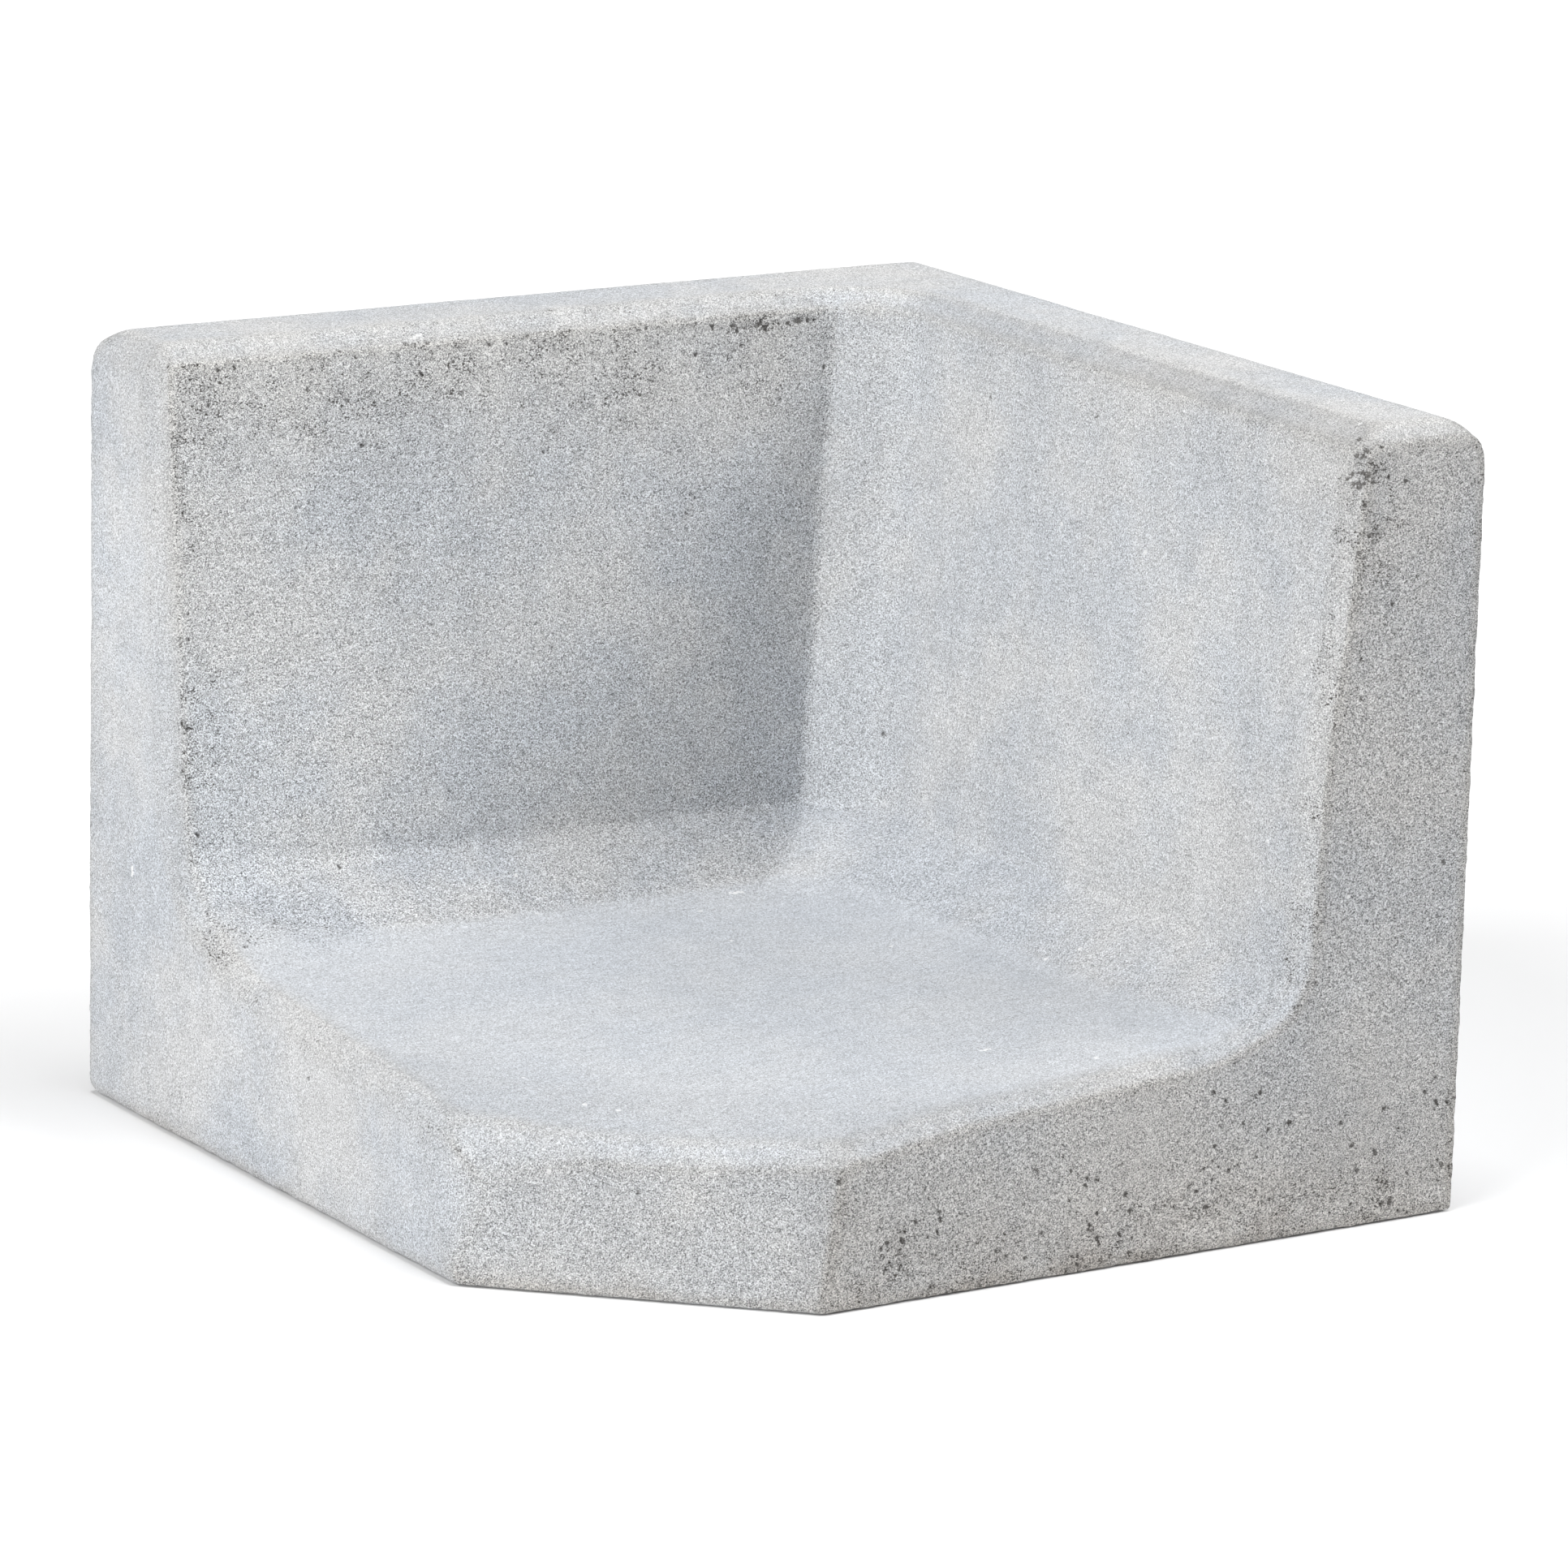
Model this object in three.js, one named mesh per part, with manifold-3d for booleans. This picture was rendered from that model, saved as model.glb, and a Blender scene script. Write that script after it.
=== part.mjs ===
// Precast concrete corner angle element: two upright walls that meet at a right angle,
// a foot slab between them whose free corner is cut off, and the reinforcement inside.
//
// Millimetres, +Z up. The origin is the middle of the underside of the square footprint.
// One wall stands along X with its outer face at y = +HALF, the other along Y with its
// outer face at x = +HALF. The foot fills the space between them, and its cut corner
// points to -X and -Y. The element is symmetric about the upright plane x = y.

import * as THREE from 'three';
import { mergeVertices } from 'three/addons/utils/BufferGeometryUtils.js';
import Module from 'manifold-3d';

const wasm = await Module();
wasm.setup();

// ---------------------------------------------------------------- driving dimensions

const LENGTH = 500;               // each wall, measured along its outer face
const HEIGHT = 400;
const HALF = LENGTH / 2;
const ROOT2 = Math.SQRT2;
const QUARTER = Math.PI / 2;

const WALL_TOP = 75;              // wall thickness just under the top chamfer
const WALL_BATTER = 0.094;        // extra thickness for each millimetre further down
const BAND_TOP_Z = 133;           // the sloping band between wall and foot starts here
const BAND_FOOT_D = 140;          // and ends this far from the outer face
const BAND_SAG = 3.5;             // the band is this hollow at its middle
const BAND_STEPS = 4;
const FOOT_AT_BAND = 102.6;       // foot thickness where the band ends
const FOOT_FALL = 0.08;           // the foot's top falls away from the wall

const EDGE_CHAMFER = 10;          // inner top edges and the edges of both end faces
const OUTER_TOP_RADIUS = 25;      // outer top edges
const OUTER_TOP_STEPS = 6;
const OUTER_CORNER_CHAMFER = 9;   // upright outer corner

const CORNER_LEG_TOP = 31;        // leg of the 45 degree strip in the inner corner
const CORNER_LEG_BAND = 36;
const CORNER_LEG_FOOT = 45;
const CORNER_STRIP_WIDTH = 90;    // wide enough to end inside both walls

const TOE_LEG_X = 132;            // the cut corner takes this much off the side along X
const TOE_LEG_Y = 123;            // and this much off the side along Y
const TOE_LEAN = 0.106;           // the cut face leans back as it rises
const TOE_CHAMFER_Z = 70;         // its top chamfer starts here
const TOE_CHAMFER = 12;

const BAR_R = 3;                  // 6 mm ribbed bar, drawn smooth
const BAR_SIDES = 10;
const BAR_GAP = 0.4;              // between a bar and the concrete
const LAYER = 2 * BAR_R + 0.4;    // centre distance of bars that cross
const BEND_R = 24;
const BEND_STEPS = 5;
const CORNER_BEND_R = 30;
const COVER = 30;                 // concrete past the end of a bar

const STEM_DEPTH = 50;            // upright bars, from the outer face to their centre
const FOOT_BAR_Z = 42;            // lowest layer of foot bars
const BAR_TOP_Z = HEIGHT - COVER;
const BAR_PLACES = [-200, -75, 60];
const SHORT_BAR_END = -120;       // the outermost bars stop short of the cut corner
const HOOP_LEVELS = [110, 205, 300];

const TIE_WIRE_R = 0.7;
const TIE_ACROSS = 6.5;           // half axes of the wire loop round two crossing bars
const TIE_ALONG = 8.2;
const TIE_SIDES = 5;
const TIE_STEPS = 10;
const FIT_GAP = 0.3;              // round ties and spacers

const SPACER_TIP_R = 4;           // end that shows in the concrete's face
const SPACER_SEAT_R = 8;          // end that carries the bar
const SPACER_SIDES = 10;
const SPACER_RECESS = 0.5;        // the tip sits this far inside the face

// ---------------------------------------------------------------- materials

const finish = (color, roughness, metalness) =>
  new THREE.MeshStandardMaterial({ color, roughness, metalness });
const concrete = () => finish(0xc6c7c9, 0.95, 0);
const barSteel = () => finish(0x6f665f, 0.6, 0.9);
const tieSteel = () => finish(0x4a4846, 0.5, 0.9);
const spacerPlastic = () => finish(0x8d9092, 0.7, 0);

// ---------------------------------------------------------------- solids and booleans

function toSolid(geometry) {
  const bare = geometry.clone();
  bare.deleteAttribute('normal');
  bare.deleteAttribute('uv');
  const merged = mergeVertices(bare, 1e-3);
  const triVerts = Uint32Array.from(merged.index.array);
  const vertProperties = Float32Array.from(merged.attributes.position.array);
  return new wasm.Manifold(new wasm.Mesh({ numProp: 3, vertProperties, triVerts }));
}

function toGeometry(solid) {
  const mesh = solid.getMesh();
  const geometry = new THREE.BufferGeometry();
  geometry.setAttribute('position', new THREE.BufferAttribute(mesh.vertProperties, 3));
  geometry.setIndex(new THREE.BufferAttribute(mesh.triVerts, 1));
  geometry.computeVertexNormals();
  return geometry;
}

// Extrudes an outline drawn in the plane of axes u and v along their normal, u cross v.
// `from` and `to` are the two ends along that normal.
function prism(points, u, v, from, to, bevel = 0) {
  const normal = new THREE.Vector3().crossVectors(u, v);
  const geometry = new THREE.ExtrudeGeometry(new THREE.Shape(points), {
    depth: to - from - 2 * bevel,
    steps: 1,
    bevelEnabled: bevel > 0,
    bevelThickness: bevel,
    bevelSize: bevel,
    bevelOffset: -bevel,
    bevelSegments: 1,
  });
  geometry.translate(0, 0, from + bevel);
  geometry.applyMatrix4(new THREE.Matrix4().makeBasis(u, v, normal));
  return toSolid(geometry);
}

const X = new THREE.Vector3(1, 0, 0);
const Y = new THREE.Vector3(0, 1, 0);
const Z = new THREE.Vector3(0, 0, 1);
const IN_CORNER = new THREE.Vector3(1, 1, 0).normalize();    // towards the walls' corner
const point = (a, b) => new THREE.Vector2(a, b);
const at = (x, y, z) => new THREE.Vector3(x, y, z);

// ---------------------------------------------------------------- concrete section

const wallThickness = (z) => WALL_TOP + WALL_BATTER * (HEIGHT - EDGE_CHAMFER - z);
const footHeight = (d) => FOOT_AT_BAND - FOOT_FALL * (d - BAND_FOOT_D);

// Points between the band's upper edge and its lower edge, on a slightly hollow curve.
function bandBetween(wall, foot) {
  const across = foot.clone().sub(wall);
  const inward = point(-across.y, across.x).normalize();
  return Array.from({ length: BAND_STEPS - 1 }, (_, i) => {
    const t = (i + 1) / BAND_STEPS;
    const depth = 4 * BAND_SAG * t * (1 - t);
    return wall.clone().addScaledVector(across, t).addScaledVector(inward, depth);
  });
}

// Outline of wall and foot: first coordinate across the wall, growing towards its outer
// face, second coordinate height. It runs past the outer face, the underside and the
// free end of the foot, where the blank cuts it.
function wallSection() {
  const past = 3 * EDGE_CHAMFER;
  const shoulder = HEIGHT - EDGE_CHAMFER;
  const foot = point(HALF - BAND_FOOT_D, footHeight(BAND_FOOT_D));
  const wall = point(HALF - wallThickness(BAND_TOP_Z), BAND_TOP_Z);
  const toe = LENGTH - EDGE_CHAMFER;
  return [
    point(-HALF, -past),
    point(HALF + past, -past),
    point(HALF + past, HEIGHT),
    point(HALF - WALL_TOP + EDGE_CHAMFER, HEIGHT),
    point(HALF - WALL_TOP, shoulder),
    wall,
    ...bandBetween(wall, foot),
    foot,
    point(HALF - toe, footHeight(toe)),
    point(-HALF, footHeight(toe) - EDGE_CHAMFER),
  ];
}

// The wall along X is drawn across Y, and the wall along Y across X. Their free ends,
// at -X and -Y, carry the chamfer; the other ends run past the blank.
function wallAlongX() {
  return prism(wallSection(), Y, Z, -HALF, HALF + 3 * EDGE_CHAMFER, EDGE_CHAMFER);
}

function wallAlongY() {
  return prism(wallSection(), X, Z, -HALF - 3 * EDGE_CHAMFER, HALF, EDGE_CHAMFER);
}

// Fills the inner upright corner with a 45 degree strip, seen here along the diagonal.
function cornerStrip() {
  const along = (d, leg) => (LENGTH - 2 * d - leg) / ROOT2;
  const outer = along(0, 0) - 2 * EDGE_CHAMFER;
  const shoulder = along(WALL_TOP, CORNER_LEG_TOP);
  const wall = point(along(wallThickness(BAND_TOP_Z), CORNER_LEG_BAND), BAND_TOP_Z);
  const foot = point(along(BAND_FOOT_D, CORNER_LEG_FOOT), footHeight(BAND_FOOT_D + CORNER_LEG_FOOT / 2));
  const outline = [
    point(foot.x, HALF / 10),
    point(outer, HALF / 10),
    point(outer, HEIGHT),
    point(shoulder + EDGE_CHAMFER, HEIGHT),
    point(shoulder, HEIGHT - EDGE_CHAMFER),
    wall,
    ...bandBetween(wall, foot),
    foot,
  ];
  return prism(outline, IN_CORNER, Z, -CORNER_STRIP_WIDTH / 2, CORNER_STRIP_WIDTH / 2);
}

// ---------------------------------------------------------------- concrete blank

// Outline with the outer top edge rounded; the first coordinate grows outwards.
function roundedBlock() {
  const corner = Array.from({ length: OUTER_TOP_STEPS + 1 }, (_, i) => {
    const angle = (QUARTER * i) / OUTER_TOP_STEPS;
    return point(
      HALF - OUTER_TOP_RADIUS * (1 - Math.cos(angle)),
      HEIGHT - OUTER_TOP_RADIUS * (1 - Math.sin(angle)),
    );
  });
  return [point(-HALF, 0), point(HALF, 0), ...corner, point(-HALF, HEIGHT)];
}

function footprint() {
  return [
    point(-HALF, -HALF),
    point(HALF, -HALF),
    point(HALF, HALF - OUTER_CORNER_CHAMFER),
    point(HALF - OUTER_CORNER_CHAMFER, HALF),
    point(-HALF, HALF),
  ];
}

// Everything on the walls' side of the cut corner, with the chamfer on its top edge.
// The outline is drawn in the upright plane across the cut face.
function behindToeCut() {
  const behind = new THREE.Vector3(TOE_LEG_Y, TOE_LEG_X, 0).normalize();
  const base = behind.dot(at(-HALF + TOE_LEG_X, -HALF, 0));
  const face = (z) => base + TOE_LEAN * z;
  const edge = face(TOE_CHAMFER_Z);
  const outline = [
    point(face(-HEIGHT), -HEIGHT),
    point(LENGTH, -HEIGHT),
    point(LENGTH, 2 * HEIGHT),
    point(edge + TOE_CHAMFER, 2 * HEIGHT),
    point(edge + TOE_CHAMFER, TOE_CHAMFER_Z + TOE_CHAMFER),
    point(edge, TOE_CHAMFER_Z),
  ];
  return prism(outline, behind, Z, -LENGTH, LENGTH);
}

function concreteCasting() {
  const walls = wallAlongX().add(wallAlongY()).add(cornerStrip());
  const blank = prism(footprint(), X, Y, 0, HEIGHT)
    .intersect(prism(roundedBlock(), Y, Z, -HALF, HALF))
    .intersect(prism(roundedBlock(), X, Z, -HALF, HALF));
  return walls.intersect(blank).intersect(behindToeCut());
}

// ---------------------------------------------------------------- reinforcement

// A path of two straight legs from `start` over `corner` to `end`, bent with a radius.
class BentPath extends THREE.Curve {
  constructor(start, corner, end, radius) {
    super();
    const legA = corner.clone().sub(start).normalize();
    const legB = end.clone().sub(corner).normalize();
    this.points = [start];
    const centre = corner.clone().addScaledVector(legA, -radius).addScaledVector(legB, radius);
    for (let i = 0; i <= BEND_STEPS; i += 1) {
      const angle = (QUARTER * i) / BEND_STEPS;
      this.points.push(centre.clone()
        .addScaledVector(legB, -radius * Math.cos(angle))
        .addScaledVector(legA, radius * Math.sin(angle)));
    }
    this.points.push(end);
  }

  getPoint(t, target = new THREE.Vector3()) {
    const place = t * (this.points.length - 1);
    const index = Math.min(Math.floor(place), this.points.length - 2);
    return target.lerpVectors(this.points[index], this.points[index + 1], place - index);
  }

  // One step of the extrusion for each stretch between two points.
  getSpacedPoints() {
    return this.points.map((p) => p.clone());
  }

  getPointAt(t, target) {
    return this.getPoint(t, target);
  }

  getTangentAt(t, target = new THREE.Vector3()) {
    const index = Math.round(t * (this.points.length - 1));
    const before = this.points[Math.max(index - 1, 0)];
    const after = this.points[Math.min(index + 1, this.points.length - 1)];
    const here = this.points[index];
    const arriving = here.clone().sub(before).normalize();
    return target.copy(after).sub(here).normalize().add(arriving).normalize();
  }
}

function barGeometry(path, radius) {
  const ring = Array.from({ length: BAR_SIDES }, (_, i) => {
    const angle = (2 * Math.PI * i) / BAR_SIDES;
    return point(radius * Math.cos(angle), radius * Math.sin(angle));
  });
  const steps = path.points.length - 1;
  return new THREE.ExtrudeGeometry(new THREE.Shape(ring), { extrudePath: path, steps });
}

const STEM_LINE = HALF - STEM_DEPTH;            // centre line of the upright bars
const HOOP_LINE = STEM_LINE + LAYER;            // centre line of the level bars

// Upright bars, bent into the foot. The two walls' bars cross in the foot one layer apart.
function stemBars() {
  return BAR_PLACES.flatMap((place, i) => {
    const end = i === 0 ? SHORT_BAR_END : -HALF + COVER;
    const low = FOOT_BAR_Z;
    const high = FOOT_BAR_Z + LAYER;
    const x = [at(place, STEM_LINE, BAR_TOP_Z), at(place, STEM_LINE, low), at(place, end, low)];
    const y = [at(STEM_LINE, place, BAR_TOP_Z), at(STEM_LINE, place, high), at(end, place, high)];
    return [
      { name: `stem_bar_x_${i + 1}`, path: new BentPath(...x, BEND_R) },
      { name: `stem_bar_y_${i + 1}`, path: new BentPath(...y, BEND_R) },
    ];
  });
}

// Level bars that run along one wall, round the corner and along the other.
function hoopBars() {
  return HOOP_LEVELS.map((z, i) => ({
    name: `corner_bar_level_${i + 1}`,
    path: new BentPath(
      at(-HALF + COVER, HOOP_LINE, z),
      at(HOOP_LINE, HOOP_LINE, z),
      at(HOOP_LINE, -HALF + COVER, z),
      CORNER_BEND_R,
    ),
  }));
}

// The corner's own upright bar stands inside the level bars' bend and runs out along the
// diagonal to the cut corner, on top of the other foot bars.
const BEND_MIDDLE = HOOP_LINE - CORNER_BEND_R * (1 - 1 / ROOT2);
const CORNER_BAR_LINE = BEND_MIDDLE - LAYER / ROOT2;

function cornerBar() {
  const z = FOOT_BAR_Z + 2 * LAYER;
  const end = -HALF + TOE_LEG_X / 2 + COVER;
  const path = new BentPath(
    at(CORNER_BAR_LINE, CORNER_BAR_LINE, BAR_TOP_Z),
    at(CORNER_BAR_LINE, CORNER_BAR_LINE, z),
    at(end, end, z),
    BEND_R,
  );
  return { name: 'corner_bar_diagonal', path };
}

// ---------------------------------------------------------------- tie wires

// A loop of wire round two crossing bars. `stack` points from one bar to the other, and
// `across` is the direction between the two bars' own directions.
function tieGeometry(tie, grow) {
  const ringR = 2;
  const ring = new THREE.TorusGeometry(ringR, 1, TIE_SIDES, TIE_STEPS);
  const wire = TIE_WIRE_R + grow;
  const place = ring.attributes.position;
  for (let i = 0; i < place.count; i += 1) {
    const turn = Math.atan2(place.getY(i), place.getX(i));
    const out = Math.hypot(place.getX(i), place.getY(i)) - ringR;
    const across = (TIE_ACROSS + wire * out) * Math.cos(turn);
    const along = (TIE_ALONG + wire * out) * Math.sin(turn);
    place.setXYZ(i, across, along, wire * place.getZ(i));
  }
  const side = new THREE.Vector3().crossVectors(tie.across, tie.stack);
  ring.applyMatrix4(new THREE.Matrix4().makeBasis(tie.across, tie.stack, side));
  ring.translate(...tie.centre);
  return ring;
}

function tieWires() {
  const half = LAYER / 2;
  const wallX = (place, z) => ({
    centre: at(place, STEM_LINE + half, z), stack: Y, across: at(1, 0, 1).normalize(),
  });
  const wallY = (place, z) => ({
    centre: at(STEM_LINE + half, place, z), stack: X, across: at(0, 1, 1).normalize(),
  });
  const foot = (x, y) => ({
    centre: at(x, y, FOOT_BAR_Z + half), stack: Z, across: IN_CORNER,
  });
  const corner = (z) => {
    const middle = BEND_MIDDLE - half / ROOT2;
    return { centre: at(middle, middle, z), stack: IN_CORNER, across: at(1, -1, ROOT2).normalize() };
  };
  const [outer, middle, inner] = BAR_PLACES;
  const [low, centre, high] = HOOP_LEVELS;
  return [
    wallX(outer, high), wallX(outer, low), wallX(middle, centre), wallX(inner, high), wallX(inner, low),
    wallY(outer, high), wallY(outer, low), wallY(middle, centre), wallY(inner, high), wallY(inner, low),
    corner(high), corner(centre), corner(low),
    foot(outer, inner), foot(middle, inner), foot(inner, outer), foot(inner, middle),
  ];
}

// ---------------------------------------------------------------- bar spacers

// A tapered plastic stud. Its narrow tip stands at the concrete's face at `from`, its wide
// end reaches the centre line of the bar, and `out` points from the bar to the face.
function spacerGeometry(spacer, grow, extra) {
  const length = spacer.length;
  const outline = [
    point(0, -extra),
    point(SPACER_TIP_R + grow, -extra),
    point(SPACER_TIP_R + grow, SPACER_RECESS + 2),
    point(SPACER_SEAT_R + grow, length - 10),
    point(SPACER_SEAT_R + grow, length + grow),
    point(0, length + grow),
  ];
  const stud = new THREE.LatheGeometry(outline, SPACER_SIDES);
  const inward = spacer.out.clone().negate();
  stud.applyQuaternion(new THREE.Quaternion().setFromUnitVectors(Y, inward));
  stud.translate(...spacer.from);
  return stud;
}

function spacers() {
  const wallLength = HALF - HOOP_LINE;
  const onWallX = (x, z) => ({ from: at(x, HALF, z), out: Y, length: wallLength, bar: X });
  const onWallY = (y, z) => ({ from: at(HALF, y, z), out: X, length: wallLength, bar: Y });
  const underFoot = (x, y) => ({ from: at(x, y, 0), out: at(0, 0, -1), length: FOOT_BAR_Z, bar: Y });
  const [outer, middle, inner] = BAR_PLACES;
  const [low, , high] = HOOP_LEVELS;
  const between = (outer + middle) / 2;
  return [
    onWallX(between, high), onWallX(0, high), onWallX(between, low),
    onWallY(between, high), onWallY(0, high), onWallY(between, low),
    underFoot(outer, 0), underFoot(middle, -140), underFoot(inner, -140), underFoot(inner, 120),
  ];
}

// ---------------------------------------------------------------- assembly

const element = new THREE.Group();
element.name = 'corner_angle_element';

function addPiece(name, geometry, material) {
  const mesh = new THREE.Mesh(geometry, material);
  mesh.name = name;
  element.add(mesh);
}

const bars = [...stemBars(), ...hoopBars(), cornerBar()];
let casting = concreteCasting();

bars.forEach(({ name, path }) => {
  addPiece(name, barGeometry(path, BAR_R), barSteel());
  casting = casting.subtract(toSolid(barGeometry(path, BAR_R + BAR_GAP)));
});

tieWires().forEach((tie, i) => {
  addPiece(`tie_wire_${i + 1}`, tieGeometry(tie, 0), tieSteel());
  casting = casting.subtract(toSolid(tieGeometry(tie, FIT_GAP)));
});

spacers().forEach((spacer, i) => {
  const seat = spacer.from.clone().addScaledVector(spacer.out, -spacer.length);
  const reach = 2 * SPACER_SEAT_R;
  const notch = new THREE.CylinderGeometry(BAR_R + BAR_GAP, BAR_R + BAR_GAP, 2 * reach, BAR_SIDES);
  notch.applyQuaternion(new THREE.Quaternion().setFromUnitVectors(Y, spacer.bar));
  notch.translate(...seat);
  const stud = toSolid(spacerGeometry(spacer, 0, -SPACER_RECESS)).subtract(toSolid(notch));
  addPiece(`bar_spacer_${i + 1}`, toGeometry(stud), spacerPlastic());
  casting = casting.subtract(toSolid(spacerGeometry(spacer, FIT_GAP, FIT_GAP)));
});

addPiece('concrete_casting', toGeometry(casting), concrete());

export default element;
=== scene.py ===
"""Looks of the precast concrete corner angle element.

The concrete is meshed again from a distance field with the casting's dimensions, so that its
edges, creases and pits have the worn, sandy shape of pressed concrete. The field is in
millimetres and the row frame: +Z up, the origin in the middle of the underside. One wall
stands along X with its outer face at y = +HALF, the other along Y with its outer face at
x = +HALF, and the cut corner of the foot points to -X and -Y.
"""

import bmesh
import bpy
import math
import numpy as np
from mathutils import Matrix, Vector
from mathutils.kdtree import KDTree


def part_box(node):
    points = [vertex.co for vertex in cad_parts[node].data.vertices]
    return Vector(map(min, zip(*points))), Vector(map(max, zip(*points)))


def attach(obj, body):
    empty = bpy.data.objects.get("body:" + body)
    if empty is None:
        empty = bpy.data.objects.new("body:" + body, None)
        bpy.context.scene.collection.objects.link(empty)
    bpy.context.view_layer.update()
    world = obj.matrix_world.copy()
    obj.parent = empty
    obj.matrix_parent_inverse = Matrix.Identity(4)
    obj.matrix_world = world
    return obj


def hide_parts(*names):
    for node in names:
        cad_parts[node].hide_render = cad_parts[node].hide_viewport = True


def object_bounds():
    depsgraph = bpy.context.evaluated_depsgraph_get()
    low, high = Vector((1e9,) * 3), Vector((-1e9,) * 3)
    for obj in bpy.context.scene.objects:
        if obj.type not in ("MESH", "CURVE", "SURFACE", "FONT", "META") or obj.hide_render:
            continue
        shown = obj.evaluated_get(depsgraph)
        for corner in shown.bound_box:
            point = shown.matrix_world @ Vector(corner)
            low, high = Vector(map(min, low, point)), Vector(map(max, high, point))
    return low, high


# ------------------------------------------------------------------ dimensions, mm

MM = 0.001
LENGTH = 500.0
HEIGHT = 400.0
HALF = LENGTH / 2
ROOT2 = math.sqrt(2)

WALL_TOP = 75.0  # wall thickness just under the top chamfer
WALL_BATTER = 0.094
BAND_TOP_Z = 133.0
BAND_FOOT_D = 140.0
FOOT_AT_BAND = 102.6
FOOT_FALL = 0.08
LEG_TOP, LEG_BAND, LEG_FOOT = 29.0, 33.5, 45.0  # legs of the strip in the inner corner
CHAMFER = 10.0
TOP_RADIUS = 25.0
CORNER_RADIUS = 11.0
TOE_LEG_X, TOE_LEG_Y, TOE_LEAN = 132.0, 123.0, 0.106

# softness of the pressed shape, mm
END_REACH = 70.0  # how far in from the free ends the creases are rounder
END_X_ROUNDING, END_Y_ROUNDING = 11.0, 3.0  # added to a crease's radius at each free end
SWELL, SWELL_Z, SWELL_REACH = 2.5, 240.0, 45.0  # the wall along Y bulges a little near its end
END_Y_BAND_DROP = 6.0  # how much lower its band lies there
STRIP_RADIUS, WALLS_RADIUS = 1.5, 9.0  # where the strip meets each wall
BAND_STRIP_RADIUS, BANDS_RADIUS = 2.5, 8.0
BAND_TOP_RADIUS, BAND_FOOT_RADIUS = 2.5, 5.0
VALLEY_WIDTH = 6.0  # blend between the two falls of the foot
TOE_ROLL, TOE_MIDDLE_ROLL = 4.5, 1.5  # how far the foot rolls down towards the cut toe
INNER_EDGE_RADIUS = 1.5
TOP_EDGE_RADIUS, TOP_END_RADIUS = 1.6, 3.0
TOE_CHAMFER, TOE_CHAMFER_RADIUS = 9.0, 3.0

# wear of the surface, mm
BROAD_WAVE, HAND_WAVE = 0.2, 0.1
GRAIN_DEPTH, CRUMBLE, CRUMBLE_GRAIN = 0.1, 0.3, 0.4
PIT_COUNT = 800
PIT_REACH = 1.6  # an uneven rim reaches at most this many radii
FULL_PIT = 1.2  # a pit this deep is fully dark with painted shade

CELL = 2.5  # edge of the grid cells that the surface is taken from
SEED = 11
TIP_RADIUS = 4.0  # spacer ends that show in the outer faces
TIP_CLEAR = 0.45

SUN_ANGLE = 24.0
LAMPS = (  # name, degrees from -X towards -Y, degrees above the horizon, strength
    ("key_high", 0, 40, 0.376),
    ("key_low", 20, 15, 0.444),
    ("overhead", 0, 90, 0.464),
    ("side", 155, 40, 0.347),
    ("side_front", 130, 40, 0.241),
)
WORLD_STRENGTH = 0.1
FLOOR_HALF = 60.0  # metres

LENS, SENSOR = 181.1, 36.0  # mm
CAMERA_PLACE = (-2.0364, -3.2222, 1.1256)  # metres
CAMERA_RIGHT = (0.8469, -0.5311, 0.0241)
CAMERA_UP = (0.1070, 0.2144, 0.9708)

# colours of the concrete, linear
BLUISH = (0.508, 0.531, 0.564)
NEUTRAL = (0.554, 0.557, 0.563)
SANDY = (0.568, 0.552, 0.526)
SOIL = (0.330, 0.290, 0.252)
# painted shade for the inside of pores and pits
PORE_SHADE = (0.075, 0.068, 0.060)
WHITE_STONE = (0.85, 0.85, 0.85)

# colours of what lies inside it
STEEL, STEEL_RUST = (0.30, 0.29, 0.28), (0.27, 0.125, 0.06)
WIRE, WIRE_RUST = (0.16, 0.155, 0.15), (0.19, 0.10, 0.055)
PLASTIC, CEMENT_DUST = (0.235, 0.245, 0.25), (0.40, 0.395, 0.38)

BUMP = 0.0006  # metres

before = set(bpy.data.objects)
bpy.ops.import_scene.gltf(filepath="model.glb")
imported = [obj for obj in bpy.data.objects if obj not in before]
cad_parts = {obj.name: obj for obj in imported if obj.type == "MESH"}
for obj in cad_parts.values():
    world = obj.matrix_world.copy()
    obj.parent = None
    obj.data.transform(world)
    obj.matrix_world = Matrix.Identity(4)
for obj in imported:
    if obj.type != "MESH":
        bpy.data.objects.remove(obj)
cad_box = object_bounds()
rng = np.random.default_rng(SEED)


# ------------------------------------------------------------------ noise and blends


def hashed(cells, seed):
    """A value from -1 to 1 for each whole-number cell."""
    h = (cells * np.array([73856093, 19349663, 83492791])).sum(-1) + seed * 2654435761
    h = ((h ^ (h >> 13)) * 1274126177) & 0xFFFFFFFF
    h = h ^ (h >> 16)
    return (h & 0xFFFF) / 32767.5 - 1


def noise(points, size, seed):
    """Smooth noise from -1 to 1 whose bumps are about `size` mm wide."""
    q = points / size
    i = np.floor(q).astype(np.int64)
    f = q - i
    f = f * f * (3 - 2 * f)
    total = np.zeros(len(points))
    for corner in range(8):
        step = np.array([corner & 1, corner >> 1 & 1, corner >> 2])
        total += np.prod(np.where(step, f, 1 - f), axis=1) * hashed(i + step, seed)
    return total


def ramp(value, low, high):
    """0 below low, 1 above high, smooth between."""
    t = np.clip((value - low) / (high - low), 0, 1)
    return t * t * (3 - 2 * t)


def bell(value, centre, width):
    return np.exp(-(((value - centre) / width) ** 2))


def round_max(a, b, radius):
    """Both fields hold; a convex edge between them is rounded."""
    return np.minimum(-radius, np.maximum(a, b)) + np.hypot(
        np.maximum(radius + a, 0), np.maximum(radius + b, 0)
    )


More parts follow.
